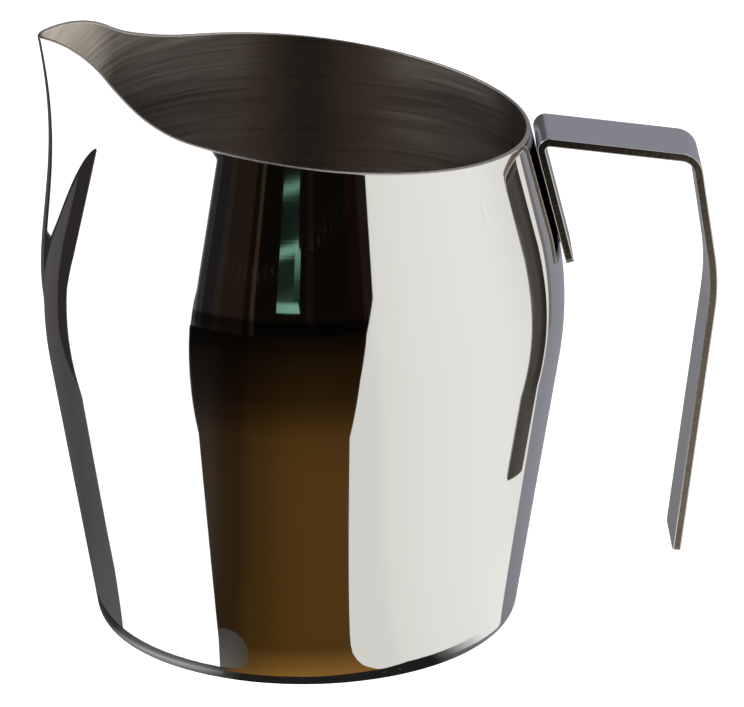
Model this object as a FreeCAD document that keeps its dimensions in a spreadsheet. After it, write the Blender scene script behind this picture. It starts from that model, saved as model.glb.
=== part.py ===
"""Milk frothing pitcher: a drawn steel body with a pressed spout, and a welded strap handle.

Frame: origin at the middle of the base, +Z up, the handle towards +X, the spout towards -X.
All sizes are in millimetres.
"""
import FreeCAD, Part
import math
import os
import Sketcher
from FreeCAD import Placement, Rotation, Vector

doc = FreeCAD.newDocument("milk_pitcher")

# ---------------------------------------------------------------- driving dimensions

DIMENSIONS = {
    # sheet and profile of the body
    "wall": 0.8,
    "belly_radius": 46.5,
    "belly_height": 60.1,
    "belly_arc": 61.2,
    "lower_lean": 9.2,
    "upper_lean": 14.3,
    "base_corner": 3.8,
    "blank_height": 116.0,
    # mouth, seen from the side
    "rim_height": 97.2,
    "rim_slope": 7.2,
    "sweep_radius": 27.2,
    "crest_radius": 14.2,
    "crest_reach": 43.8,
    "crest_height": 110.0,
    "lip_clearance": 3.0,
    # strap
    "strap_width": 15.0,
    "strap_gauge": 1.5,
    "strap_arris": 0.3,
    "strap_corner": 1.0,
    "leg_lean": 13.4,
    "leg_end_height": 68.2,
    "leg_gap": 0.3,
    "run_slope": 7.5,
    "run_height": 91.3,
    "grip_lean": 8.8,
    "kick_lean": 7.0,
    "kink_reach": 73.7,
    "kink_height": 64.4,
    "tip_height": 13.0,
    "shoulder_radius": 3.0,
    "knuckle_radius": 5.5,
    "kink_radius": 9.0,
    # welds
    "weld_radius": 2.0,
    "weld_depth": 0.9,
    "weld_low": 72.0,
    "weld_pitch": 6.5,
}

# Sections of the pressed spout, from its root on the belly to above its lip: the height,
# the reach of the ridge, the half angle between the side walls, and the ridge's radius.
SPOUT_SECTIONS = {
    "root": (58.0, 45.9, 72.0, 11.0),
    "foot": (70.0, 46.8, 66.3, 9.6),
    "waist": (82.0, 45.6, 60.9, 8.2),
    "throat": (95.0, 45.0, 55.0, 6.3),
    "lip": (112.0, 46.9, 47.3, 4.0),
}

WELD_COUNT = 3


def make_sheet(values, sections):
    """Write every driving dimension in the spreadsheet, each under its alias."""
    sheet = doc.addObject("Spreadsheet::Sheet", "Dimensions")
    rows = dict(values)
    for name, (height, reach, half_angle, ridge) in sections.items():
        rows[name + "_level"] = height
        rows[name + "_reach"] = reach
        rows[name + "_half_angle"] = half_angle
        rows[name + "_ridge"] = ridge
    for row, (alias, value) in enumerate(rows.items(), start=1):
        sheet.set("A%d" % row, alias)
        sheet.set("B%d" % row, str(value))
        sheet.setAlias("B%d" % row, alias)
    doc.recompute()
    return sheet


sheet = make_sheet(DIMENSIONS, SPOUT_SECTIONS)


def cell(alias):
    """The value of a cell, for a sketch's first guess and for plain placements."""
    return float(getattr(sheet, alias))


# ---------------------------------------------------------------- sketch helpers

def origin_feature(body, role):
    for feature in body.Origin.OriginFeatures:
        if feature.Role == role:
            return feature
    raise ValueError(role)


def new_body(label):
    body = doc.addObject("PartDesign::Body", label)
    body.Label = label
    return body


def new_sketch(body, name, plane):
    sketch = body.newObject("Sketcher::SketchObject", name)
    sketch.AttachmentSupport = [(origin_feature(body, plane), "")]
    sketch.MapMode = "FlatFace"
    return sketch


def flat(across, up):
    """A point of a sketch."""
    return Vector(across, up, 0)


def drive(sketch, name, constraint, formula):
    """Add a dimension to a sketch and bind it to the spreadsheet."""
    index = sketch.addConstraint(constraint)
    sketch.renameConstraint(index, name)
    sketch.setExpression("Constraints." + name, formula)


def add_arc(sketch, centre, radius, start_degrees, end_degrees):
    circle = Part.Circle(centre, Vector(0, 0, 1), radius)
    start, end = math.radians(start_degrees), math.radians(end_degrees)
    return sketch.addGeometry(Part.ArcOfCircle(circle, start, end), False)


def add_line(sketch, start, end):
    return sketch.addGeometry(Part.LineSegment(start, end), False)


def polar(centre, radius, degrees):
    angle = math.radians(degrees)
    return flat(centre.x + radius * math.cos(angle), centre.y + radius * math.sin(angle))


START, END, CENTRE = 1, 2, 3
H_AXIS, V_AXIS = -1, -2
ORIGIN = (-1, 1)


# ---------------------------------------------------------------- pitcher body

def body_profile(body, name, inset):
    """Half section of the drawn cup: flat base, corner, lower cone, belly arc, upper cone.

    inset is zero for the outside and the sheet's thickness for the inside.
    """
    gap = cell("wall") if inset else 0.0
    less = " - Dimensions.wall" if inset else ""
    lower, upper = cell("lower_lean"), cell("upper_lean")
    arc_radius = cell("belly_arc") - gap
    corner_radius = cell("base_corner") - gap
    arc_centre = flat(cell("belly_radius") - cell("belly_arc"), cell("belly_height"))
    arc_low = polar(arc_centre, arc_radius, -lower)
    arc_high = polar(arc_centre, arc_radius, upper)
    corner_height = cell("base_corner")
    drop = arc_low.y - polar(flat(0, corner_height), corner_radius, -lower).y
    corner_side = arc_low.x - drop * math.tan(math.radians(lower))
    corner_centre = flat(corner_side - corner_radius * math.cos(math.radians(lower)), corner_height)
    floor = corner_height - corner_radius
    top = cell("blank_height")
    top_side = arc_high.x - (top - arc_high.y) * math.tan(math.radians(upper))

    sketch = new_sketch(body, name, "XZ_Plane")
    base = add_line(sketch, flat(0, floor), flat(corner_centre.x, floor))
    corner = add_arc(sketch, corner_centre, corner_radius, 270, 360 - lower)
    cone_low = add_line(sketch, polar(corner_centre, corner_radius, -lower), arc_low)
    belly = add_arc(sketch, arc_centre, arc_radius, -lower, upper)
    cone_high = add_line(sketch, arc_high, flat(top_side, top))
    lid = add_line(sketch, flat(top_side, top), flat(0, top))
    axis = add_line(sketch, flat(0, top), flat(0, floor))

    for first, second in ((base, corner), (corner, cone_low), (cone_low, belly), (belly, cone_high)):
        sketch.addConstraint(Sketcher.Constraint("Tangent", first, END, second, START))
    for first, second in ((cone_high, lid), (lid, axis), (axis, base)):
        sketch.addConstraint(Sketcher.Constraint("Coincident", first, END, second, START))
    sketch.addConstraint(Sketcher.Constraint("Horizontal", base))
    sketch.addConstraint(Sketcher.Constraint("Horizontal", lid))
    sketch.addConstraint(Sketcher.Constraint("PointOnObject", axis, START, V_AXIS))
    sketch.addConstraint(Sketcher.Constraint("PointOnObject", axis, END, V_AXIS))
    drive(sketch, "corner_radius", Sketcher.Constraint("Radius", corner, corner_radius),
          "Dimensions.base_corner" + less)
    drive(sketch, "corner_centre_height",
          Sketcher.Constraint("DistanceY", *ORIGIN, corner, CENTRE, corner_height),
          "Dimensions.base_corner")
    drive(sketch, "arc_radius", Sketcher.Constraint("Radius", belly, arc_radius),
          "Dimensions.belly_arc" + less)
    drive(sketch, "arc_centre_across",
          Sketcher.Constraint("DistanceX", belly, CENTRE, *ORIGIN, -arc_centre.x),
          "Dimensions.belly_arc - Dimensions.belly_radius")
    drive(sketch, "arc_centre_height",
          Sketcher.Constraint("DistanceY", *ORIGIN, belly, CENTRE, arc_centre.y),
          "Dimensions.belly_height")
    drive(sketch, "lower_angle",
          Sketcher.Constraint("Angle", cone_low, START, V_AXIS, START, math.radians(lower)),
          "Dimensions.lower_lean")
    drive(sketch, "upper_angle",
          Sketcher.Constraint("Angle", cone_high, START, V_AXIS, START, math.radians(-upper)),
          "-Dimensions.upper_lean")
    drive(sketch, "top_height",
          Sketcher.Constraint("DistanceY", *ORIGIN, lid, START, top), "Dimensions.blank_height")
    return sketch


def spout_section(body, name, section, inset):
    """Level section of the spout: a rounded ridge and two side walls, open to the cup.

    Each side wall ends where it passes nearest the axis, inside the cup.
    """
    gap = cell("wall") if inset else 0.0
    less = " - Dimensions.wall" if inset else ""
    half_angle = cell(section + "_half_angle")
    slope = math.radians(half_angle)
    ridge = cell(section + "_ridge") - gap
    ridge_centre = flat(cell(section + "_ridge") - cell(section + "_reach"), 0)
    upper_start = polar(ridge_centre, ridge, 90 + half_angle)
    lower_start = flat(upper_start.x, -upper_start.y)
    length = -upper_start.x * math.cos(slope) - upper_start.y * math.sin(slope)
    upper_end = upper_start + flat(length * math.cos(slope), length * math.sin(slope))
    lower_end = flat(upper_end.x, -upper_end.y)

    sketch = new_sketch(body, name, "XY_Plane")
    sketch.setExpression("AttachmentOffset.Base.z", "Dimensions.%s_level" % section)
    nose = add_arc(sketch, ridge_centre, ridge, 90 + half_angle, 270 - half_angle)
    lower = add_line(sketch, lower_start, lower_end)
    back = add_line(sketch, lower_end, upper_end)
    upper = add_line(sketch, upper_end, upper_start)
    sketch.addConstraint(Sketcher.Constraint("Tangent", nose, END, lower, START))
    sketch.addConstraint(Sketcher.Constraint("Tangent", upper, END, nose, START))
    sketch.addConstraint(Sketcher.Constraint("Coincident", lower, END, back, START))
    sketch.addConstraint(Sketcher.Constraint("Coincident", back, END, upper, START))
    foot_line = sketch.addGeometry(Part.LineSegment(flat(0, 0), upper_end), True)
    sketch.addConstraint(Sketcher.Constraint("Coincident", foot_line, START, *ORIGIN))
    sketch.addConstraint(Sketcher.Constraint("Coincident", foot_line, END, upper, START))
    sketch.addConstraint(Sketcher.Constraint("Perpendicular", foot_line, upper))
    sketch.addConstraint(Sketcher.Constraint("PointOnObject", nose, CENTRE, H_AXIS))
    sketch.addConstraint(Sketcher.Constraint("Symmetric", lower, END, upper, START, H_AXIS))
    drive(sketch, "half_angle",
          Sketcher.Constraint("Angle", lower, START, H_AXIS, START, slope),
          "Dimensions.%s_half_angle" % section)
    drive(sketch, "ridge_radius", Sketcher.Constraint("Radius", nose, ridge),
          "Dimensions.%s_ridge%s" % (section, less))
    drive(sketch, "ridge_centre",
          Sketcher.Constraint("DistanceX", nose, CENTRE, *ORIGIN, -ridge_centre.x),
          "Dimensions.%s_reach - Dimensions.%s_ridge" % (section, section))
    return sketch


def mouth_cutter(body):
    """Side view of everything above the mouth: slanted rim, sweep and spout crest."""
    slope = math.radians(cell("rim_slope"))
    sweep, crest = cell("sweep_radius"), cell("crest_radius")
    along = flat(-math.cos(slope), math.sin(slope))
    above = flat(math.sin(slope), math.cos(slope))
    crest_centre = flat(-cell("crest_reach"), cell("crest_height") - crest)
    offset = flat(0, cell("rim_height")) + above * sweep - crest_centre
    half = offset.dot(along)
    travel = -half - math.sqrt(half ** 2 - offset.dot(offset) + (sweep + crest) ** 2)
    sweep_centre = crest_centre + offset + along * travel
    blend = sweep_centre - above * sweep
    lean = math.atan2(sweep_centre.y - crest_centre.y, sweep_centre.x - crest_centre.x)
    turn = polar(crest_centre, crest, math.degrees(lean))
    overhang = cell("belly_radius") + cell("lip_clearance")
    crest_end = 90 + math.degrees(math.asin((overhang - cell("crest_reach")) / crest))
    tip = polar(crest_centre, crest, crest_end)
    margin = 2 * cell("belly_radius")
    heel = flat(margin, cell("rim_height") - margin * math.tan(slope))
    roof = 2 * cell("crest_height")

    sketch = new_sketch(body, "mouth_outline", "XZ_Plane")
    rim = add_line(sketch, heel, blend)
    inner = add_arc(sketch, sweep_centre, sweep, math.degrees(lean) - 180, -90 - cell("rim_slope"))
    outer = add_arc(sketch, crest_centre, crest, math.degrees(lean), crest_end)
    lip = add_line(sketch, tip, flat(-margin, tip.y))
    front = add_line(sketch, flat(-margin, tip.y), flat(-margin, roof))
    roof_line = add_line(sketch, flat(-margin, roof), flat(heel.x, roof))
    back = add_line(sketch, flat(heel.x, roof), heel)
    sketch.addConstraint(Sketcher.Constraint("Tangent", rim, END, inner, END))
    sketch.addConstraint(Sketcher.Constraint("Tangent", inner, START, outer, START))
    for first, second in ((outer, lip), (lip, front), (front, roof_line), (roof_line, back), (back, rim)):
        sketch.addConstraint(Sketcher.Constraint("Coincident", first, END, second, START))
    for line in (lip, roof_line):
        sketch.addConstraint(Sketcher.Constraint("Horizontal", line))
    for line in (front, back):
        sketch.addConstraint(Sketcher.Constraint("Vertical", line))
    axis_point = sketch.addGeometry(Part.Point(flat(0, cell("rim_height"))), True)
    sketch.addConstraint(Sketcher.Constraint("PointOnObject", axis_point, START, V_AXIS))
    sketch.addConstraint(Sketcher.Constraint("PointOnObject", axis_point, START, rim))
    drive(sketch, "rim_height",
          Sketcher.Constraint("DistanceY", *ORIGIN, axis_point, START, cell("rim_height")),
          "Dimensions.rim_height")
    drive(sketch, "rim_slope",
          Sketcher.Constraint("Angle", rim, START, H_AXIS, START, math.pi + slope),
          "180 + Dimensions.rim_slope")
    drive(sketch, "sweep", Sketcher.Constraint("Radius", inner, sweep), "Dimensions.sweep_radius")
    drive(sketch, "crest", Sketcher.Constraint("Radius", outer, crest), "Dimensions.crest_radius")
    drive(sketch, "crest_reach",
          Sketcher.Constraint("DistanceX", outer, CENTRE, *ORIGIN, cell("crest_reach")),
          "Dimensions.crest_reach")
    drive(sketch, "crest_height",
          Sketcher.Constraint("DistanceY", *ORIGIN, outer, CENTRE, crest_centre.y),
          "Dimensions.crest_height - Dimensions.crest_radius")
    drive(sketch, "overhang", Sketcher.Constraint("DistanceX", outer, END, *ORIGIN, overhang),
          "Dimensions.belly_radius + Dimensions.lip_clearance")
    drive(sketch, "front_margin", Sketcher.Constraint("DistanceX", front, START, *ORIGIN, margin),
          "2 * Dimensions.belly_radius")
    drive(sketch, "back_margin", Sketcher.Constraint("DistanceX", *ORIGIN, back, END, heel.x),
          "2 * Dimensions.belly_radius")
    drive(sketch, "roof_height", Sketcher.Constraint("DistanceY", *ORIGIN, roof_line, START, roof),
          "2 * Dimensions.crest_height")
    return sketch


def add_loft(body, kind, name, inset):
    sections = [spout_section(body, name + "_" + section, section, inset) for section in SPOUT_SECTIONS]
    loft = body.newObject("PartDesign::" + kind, name)
    loft.Profile = (sections[0], [""])
    loft.Sections = [(section, [""]) for section in sections[1:]]
    for section in sections:
        section.Visibility = False
    return loft


def add_turned(body, kind, name, inset):
    sketch = body_profile(body, name + "_profile", inset)
    turned = body.newObject("PartDesign::" + kind, name)
    turned.Profile = sketch
    turned.ReferenceAxis = (sketch, ["V_Axis"])
    turned.Angle = 360


def make_pitcher_body():
    """The outside is built solid, then hollowed by the same shapes one sheet smaller."""
    body = new_body("pitcher_body")
    add_turned(body, "Revolution", "drawn_cup", False)
    add_loft(body, "AdditiveLoft", "pressed_spout", False)
    add_turned(body, "Groove", "hollow", True)
    add_loft(body, "SubtractiveLoft", "spout_channel", True)
    mouth = body.newObject("PartDesign::Pocket", "trimmed_mouth")
    mouth.Profile = mouth_cutter(body)
    mouth.SideType = "Symmetric"
    mouth.Type = "ThroughAll"
    return body


# ---------------------------------------------------------------- strap handle

def cone_start():
    """Where the belly arc meets the upper cone, on the outside of the cup."""
    upper = math.radians(cell("upper_lean"))
    across = cell("belly_radius") - cell("belly_arc") * (1 - math.cos(upper))
    return flat(across, cell("belly_height") + cell("belly_arc") * math.sin(upper))


def crossing(first, first_heading, second, second_heading):
    """Where two lines meet, each given by a point and a heading in degrees."""
    run = polar(flat(0, 0), 1, first_heading)
    other = polar(flat(0, 0), 1, second_heading)
    step = second - first
    distance = (step.x * other.y - step.y * other.x) / (run.x * other.y - run.y * other.x)
    return first + run * distance


def strap_side(sketch, corners, headings, radii, shift):
    """One face of the strip, seen from the side: straight runs joined by bends.

    shift is how far the face lies to the right of the skin, the face that carries the sizes.
    """
    lines, bends = [], []
    begin = corners[0] + polar(flat(0, 0), shift, headings[0] - 90)
    for index, radius in enumerate(radii):
        before, after = headings[index], headings[index + 1]
        turn = math.radians(before - after)
        setback = radius * math.tan(turn / 2)
        bend_start = corners[index + 1] - polar(flat(0, 0), setback, before)
        centre = bend_start + polar(flat(0, 0), radius, before - 90)
        small = radius - shift
        finish = polar(centre, small, before + 90)
        lines.append(add_line(sketch, begin, finish))
        bends.append(add_arc(sketch, centre, small, after + 90, before + 90))
        begin = polar(centre, small, after + 90)
    end = corners[-1] + polar(flat(0, 0), shift, headings[-1] - 90)
    lines.append(add_line(sketch, begin, end))
    for index, bend in enumerate(bends):
        sketch.addConstraint(Sketcher.Constraint("Tangent", lines[index], END, bend, END))
        sketch.addConstraint(Sketcher.Constraint("Tangent", bend, START, lines[index + 1], START))
    return lines, bends


def pin(sketch, name, lines, point, across, up):
    """Make lines pass through a point whose place the spreadsheet gives."""
    mark = sketch.addGeometry(Part.Point(point), True)
    for line in lines:
        sketch.addConstraint(Sketcher.Constraint("PointOnObject", mark, START, line))
    drive(sketch, name + "_across",
          Sketcher.Constraint("DistanceX", *ORIGIN, mark, START, point.x), across)
    drive(sketch, name + "_up", Sketcher.Constraint("DistanceY", *ORIGIN, mark, START, point.y), up)


def strap_outline(body):
    headings = [90 + cell("leg_lean"), -cell("run_slope"), -90 + cell("grip_lean"),
                -90 - cell("kick_lean")]
    formulas = ["90 + Dimensions.leg_lean", "-Dimensions.run_slope",
                "-90 + Dimensions.grip_lean", "-90 - Dimensions.kick_lean"]
    bend_cells = ("shoulder_radius", "knuckle_radius", "kink_radius")
    leg_point = cone_start() + flat(cell("leg_gap"), 0)
    run_point = flat(cell("belly_radius"), cell("run_height"))
    kink = flat(cell("kink_reach"), cell("kink_height"))
    level = flat(0, cell("leg_end_height"))
    corners = [crossing(leg_point, headings[0], level, 0),
               crossing(leg_point, headings[0], run_point, headings[1]),
               crossing(run_point, headings[1], kink, headings[2]),
               kink,
               crossing(kink, headings[3], flat(0, cell("tip_height")), 0)]
    radii = [cell(name) for name in bend_cells]
    gauge = cell("strap_gauge")

    sketch = new_sketch(body, "strap_outline", "XZ_Plane")
    skin, skin_bends = strap_side(sketch, corners, headings, radii, 0)
    under, under_bends = strap_side(sketch, corners, headings, radii, gauge)
    leg_end = add_line(sketch, sketch.getPoint(under[0], START), corners[0])
    tip_end = add_line(sketch, corners[-1], sketch.getPoint(under[-1], END))
    sketch.addConstraint(Sketcher.Constraint("Coincident", leg_end, START, under[0], START))
    sketch.addConstraint(Sketcher.Constraint("Coincident", leg_end, END, skin[0], START))
    sketch.addConstraint(Sketcher.Constraint("Coincident", tip_end, START, skin[-1], END))
    sketch.addConstraint(Sketcher.Constraint("Coincident", tip_end, END, under[-1], END))
    sketch.addConstraint(Sketcher.Constraint("Perpendicular", leg_end, skin[0]))
    sketch.addConstraint(Sketcher.Constraint("Perpendicular", tip_end, skin[-1]))
    for outer, inner in zip(skin, under):
        sketch.addConstraint(Sketcher.Constraint("Parallel", outer, inner))
    for line, heading, formula in zip(skin, headings, formulas):
        drive(sketch, "heading_%d" % line,
              Sketcher.Constraint("Angle", H_AXIS, START, line, START, math.radians(heading)),
              formula)
    for outer, inner, name in zip(skin_bends, under_bends, bend_cells):
        drive(sketch, name, Sketcher.Constraint("Radius", outer, cell(name)), "Dimensions." + name)
        sketch.addConstraint(Sketcher.Constraint("Coincident", outer, CENTRE, inner, CENTRE))
    drive(sketch, "gauge", Sketcher.Constraint("Distance", leg_end, START, leg_end, END, gauge),
          "Dimensions.strap_gauge")
    pin(sketch, "leg", skin[:1], leg_point,
        "Dimensions.belly_radius - Dimensions.belly_arc * (1 - cos(Dimensions.upper_lean * 1 deg))"
        " + Dimensions.leg_gap",
        "Dimensions.belly_height + Dimensions.belly_arc * sin(Dimensions.upper_lean * 1 deg)")
    pin(sketch, "run", skin[1:2], run_point, "Dimensions.belly_radius", "Dimensions.run_height")
    pin(sketch, "kink", skin[2:], kink, "Dimensions.kink_reach", "Dimensions.kink_height")
    drive(sketch, "leg_end_height",
          Sketcher.Constraint("DistanceY", *ORIGIN, skin[0], START, corners[0].y),
          "Dimensions.leg_end_height")
    drive(sketch, "tip_height",
          Sketcher.Constraint("DistanceY", *ORIGIN, skin[-1], END, corners[-1].y),
          "Dimensions.tip_height")
    return sketch


def edges_of_length(shape, length):
    """Names of a shape's straight edges that have one length."""
    names = []
    for number, edge in enumerate(shape.Edges, start=1):
        if isinstance(edge.Curve, Part.Line) and abs(edge.Length - length) < 1e-4:
            names.append("Edge%d" % number)
    return names


def make_handle_strap():
    """A flat strip bent in its own plane of symmetry, its four ends' corners rounded."""
    body = new_body("handle_strap")
    strip = body.newObject("PartDesign::Pad", "bent_strip")
    strip.Profile = strap_outline(body)
    strip.SideType = "Symmetric"
    strip.setExpression("Length", "Dimensions.strap_width")
    doc.recompute()
    corners = body.newObject("PartDesign::Fillet", "end_corners")
    corners.Base = (strip, edges_of_length(strip.Shape, cell("strap_gauge")))
    corners.setExpression("Radius", "Dimensions.strap_corner")
    doc.recompute()
    arrises = body.newObject("PartDesign::Fillet", "arrises")
    arrises.Base = (corners, [""])
    arrises.UseAllEdges = True
    arrises.setExpression("Radius", "Dimensions.strap_arris")
    return body


# ---------------------------------------------------------------- spot welds

def make_spot_welds(pitcher):
    """Nuggets that start on the flat leg, square to it, and end on the round wall."""
    lean = cell("leg_lean")
    anchor = cone_start() + flat(cell("leg_gap"), 0)
    nuggets = []
    for index in range(WELD_COUNT):
        level = cell("weld_low") + index * cell("weld_pitch")
        reach = anchor.x - (level - anchor.y) * math.tan(math.radians(lean))
        nugget = doc.addObject("Part::Cylinder", "nugget_%d" % (index + 1))
        nugget.setExpression("Radius", "Dimensions.weld_radius")
        nugget.setExpression("Height", "Dimensions.weld_depth")
        nugget.Placement = Placement(Vector(reach, 0, level), Rotation(Vector(0, 1, 0), -90 - lean))
        nuggets.append(nugget)
    group = doc.addObject("Part::MultiFuse", "nugget_group")
    group.Shapes = nuggets
    welds = doc.addObject("Part::Cut", "spot_welds")
    welds.Label = "spot_welds"
    welds.Base = group
    welds.Tool = pitcher
    return welds


# ---------------------------------------------------------------- build, check and write

def check(sub_parts):
    """Stop if any object of the document failed, or a sub-part has no sound shape."""
    for item in doc.Objects:
        if "Invalid" in item.State or "Error" in item.State:
            raise RuntimeError("%s: %s" % (item.Label, item.State))
        if item.TypeId == "Sketcher::SketchObject" and not item.FullyConstrained:
            raise RuntimeError("%s is not fully constrained" % item.Label)
    for sub_part in sub_parts:
        shape = sub_part.Shape
        if shape.isNull() or not shape.isValid() or not shape.Solids:
            raise RuntimeError("%s has no valid solid" % sub_part.Label)


pitcher = make_pitcher_body()
strap = make_handle_strap()
welds = make_spot_welds(pitcher)
sub_parts = [pitcher, strap, welds]
doc.recompute()
check(sub_parts)

os.makedirs("parts", exist_ok=True)
for sub_part in sub_parts:
    sub_part.Shape.exportStep("parts/%s.step" % sub_part.Label)
    box = sub_part.Shape.optimalBoundingBox()
    print("%s: %d solid(s), %.0f mm3, x %.1f..%.1f y %.1f..%.1f z %.1f..%.1f" % (
        sub_part.Label, len(sub_part.Shape.Solids), sub_part.Shape.Volume,
        box.XMin, box.XMax, box.YMin, box.YMax, box.ZMin, box.ZMax))
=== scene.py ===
"""Looks of the milk frothing pitcher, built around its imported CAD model.

Frame: metres, origin at the middle of the base, +Z up, the handle towards +X, the spout
towards -X. Shapes are worked out in millimetres and turned into metres in make_object.
"""
import math

import bpy
import numpy as np
from mathutils import Matrix, Vector


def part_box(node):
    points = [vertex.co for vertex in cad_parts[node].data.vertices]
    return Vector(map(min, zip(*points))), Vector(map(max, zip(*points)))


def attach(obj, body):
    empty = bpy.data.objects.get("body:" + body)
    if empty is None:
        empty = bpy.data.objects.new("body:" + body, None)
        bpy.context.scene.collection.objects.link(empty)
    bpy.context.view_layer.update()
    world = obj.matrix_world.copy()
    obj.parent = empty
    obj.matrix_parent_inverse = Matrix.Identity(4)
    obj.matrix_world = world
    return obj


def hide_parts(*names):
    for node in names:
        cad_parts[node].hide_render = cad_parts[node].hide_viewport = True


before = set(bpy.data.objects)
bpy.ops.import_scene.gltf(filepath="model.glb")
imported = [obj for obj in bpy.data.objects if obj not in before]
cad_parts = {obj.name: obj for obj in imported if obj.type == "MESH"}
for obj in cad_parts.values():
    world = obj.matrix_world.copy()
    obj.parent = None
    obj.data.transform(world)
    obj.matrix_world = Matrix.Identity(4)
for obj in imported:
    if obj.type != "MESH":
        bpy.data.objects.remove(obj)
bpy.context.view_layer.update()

MM = 0.001


def box_mm(node):
    """Lowest and highest corner of a CAD node, in millimetres."""
    low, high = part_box(node)
    return np.array(low) / MM, np.array(high) / MM


_, CUP_HIGH = box_mm("pitcher_body")
STRAP_LOW, STRAP_HIGH = box_mm("handle_strap")

# ---------------------------------------------------------------- shape of the cup, mm

WALL = 0.8
BELLY_RADIUS = CUP_HIGH[0]
BELLY_HEIGHT = 60.1
BELLY_ARC = 61.2
LOWER_LEAN = math.radians(9.2)
UPPER_LEAN = math.radians(14.3)
BASE_CORNER = 3.8

RIM_HEIGHT = 97.2
RIM_SLOPE = math.radians(7.2)
SWEEP_RADIUS = 27.2
CREST_RADIUS = 14.2
CREST_REACH = 43.8
CREST_HEIGHT = CUP_HIGH[2]
RIM_ROUNDING = 0.28
# One more ring this far below the rounding keeps the wall's shading even up to it.
RIM_SUPPORT = 0.1

# Height, reach of the ridge, half angle between the side walls in degrees, ridge radius.
SPOUT_SECTIONS = np.array([
    (58.0, 45.9, 72.0, 11.0),
    (70.0, 46.8, 66.3, 9.6),
    (82.0, 45.6, 60.9, 8.2),
    (95.0, 45.0, 56.1, 6.3),
    (112.0, 46.9, 49.0, 4.0),
])
SPOUT_MIDDLE = 85.0
VALLEY_BLEND = 0.22
MOUTH_PULL = 0.8
MOUTH_PULL_FROM, MOUTH_PULL_TO = math.radians(-10), math.radians(100)

ARC_AXIS = BELLY_RADIUS - BELLY_ARC
LOW_JOIN = (ARC_AXIS + BELLY_ARC * math.cos(LOWER_LEAN),
            BELLY_HEIGHT - BELLY_ARC * math.sin(LOWER_LEAN))
HIGH_JOIN = (ARC_AXIS + BELLY_ARC * math.cos(UPPER_LEAN),
             BELLY_HEIGHT + BELLY_ARC * math.sin(UPPER_LEAN))
CORNER_TOP = BASE_CORNER * (1 - math.sin(LOWER_LEAN))
CORNER_SIDE = LOW_JOIN[0] - (LOW_JOIN[1] - CORNER_TOP) * math.tan(LOWER_LEAN)
CORNER_AXIS = CORNER_SIDE - BASE_CORNER * math.cos(LOWER_LEAN)


def cup_radius(z):
    """Outside radius of the turned cup at height z: lower cone, belly arc, upper cone."""
    arc = ARC_AXIS + np.sqrt(np.maximum(BELLY_ARC ** 2 - (z - BELLY_HEIGHT) ** 2, 0))
    lower = LOW_JOIN[0] - (LOW_JOIN[1] - z) * math.tan(LOWER_LEAN)
    upper = HIGH_JOIN[0] - (z - HIGH_JOIN[1]) * math.tan(UPPER_LEAN)
    return np.where(z < LOW_JOIN[1], lower, np.where(z > HIGH_JOIN[1], upper, arc))


# The reach, half angle and ridge radius as smooth curves over the height.
SPOUT_CURVES = [
    np.polyfit(SPOUT_SECTIONS[:, 0] - SPOUT_MIDDLE, SPOUT_SECTIONS[:, column], len(SPOUT_SECTIONS) - 1)
    for column in (1, 2, 3)
]


def spout_radius(phi, z):
    """Distance from the axis to the pressed spout: a rounded ridge and two flat side walls."""
    reach, half, ridge = (np.polyval(curve, z - SPOUT_MIDDLE) for curve in SPOUT_CURVES)
    half = np.radians(half)
    turn = np.abs(phi)
    centre = reach - ridge
    join = np.arctan2(ridge * np.cos(half), centre + ridge * np.sin(half))
    nose = centre * np.cos(turn) + np.sqrt(np.maximum(ridge ** 2 - (centre * np.sin(turn)) ** 2, 0))
    side = (centre * np.sin(half) + ridge) / np.sin(np.minimum(half + turn, math.pi / 2))
    return np.where(turn < join, nose, side)


def pulled_in(phi, z):
    """How far pressing the spout has pulled in the mouth on both sides of it."""
    share = np.clip((np.abs(phi) - MOUTH_PULL_FROM) / (MOUTH_PULL_TO - MOUTH_PULL_FROM), 0, 1)
    rise = np.clip((z - HIGH_JOIN[1]) / (RIM_HEIGHT - HIGH_JOIN[1]), 0, 1.3)
    return MOUTH_PULL * np.sin(math.pi * share) ** 2 * rise


def skin_radius(phi, z):
    """Outside radius of the whole body, with a small blend in the valleys beside the spout."""
    cup = cup_radius(z) - pulled_in(phi, z)
    spout = np.where(z > SPOUT_SECTIONS[0, 0], spout_radius(phi, z), 0)
    share = np.clip(0.5 + (spout - cup) / (2 * VALLEY_BLEND), 0, 1)
    return cup + (spout - cup) * share + VALLEY_BLEND * share * (1 - share)


def skin_point(phi, z):
    """Point of the outside at azimuth phi from the spout, turning towards -Y."""
    radius = skin_radius(phi, z)
    return np.stack([-radius * np.cos(phi), -radius * np.sin(phi), z + 0 * phi], -1)


def skin_normal(phi, z):
    """Outward normal of the outside."""
    step = 1e-4
    radius = skin_radius(phi, z)
    around = (skin_radius(phi + step, z) - skin_radius(phi - step, z)) / (2 * step * radius)
    up = (skin_radius(phi, z + step) - skin_radius(phi, z - step)) / (2 * step)
    out = np.stack([
        -np.cos(phi) - around * np.sin(phi),
        -np.sin(phi) + around * np.cos(phi),
        -up + 0 * phi,
    ], -1)
    return out / np.linalg.norm(out, axis=-1, keepdims=True)


def inner_point(phi, z):
    """Point of the inside, one sheet in from the outside."""
    return skin_point(phi, z) - WALL * skin_normal(phi, z)


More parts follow.
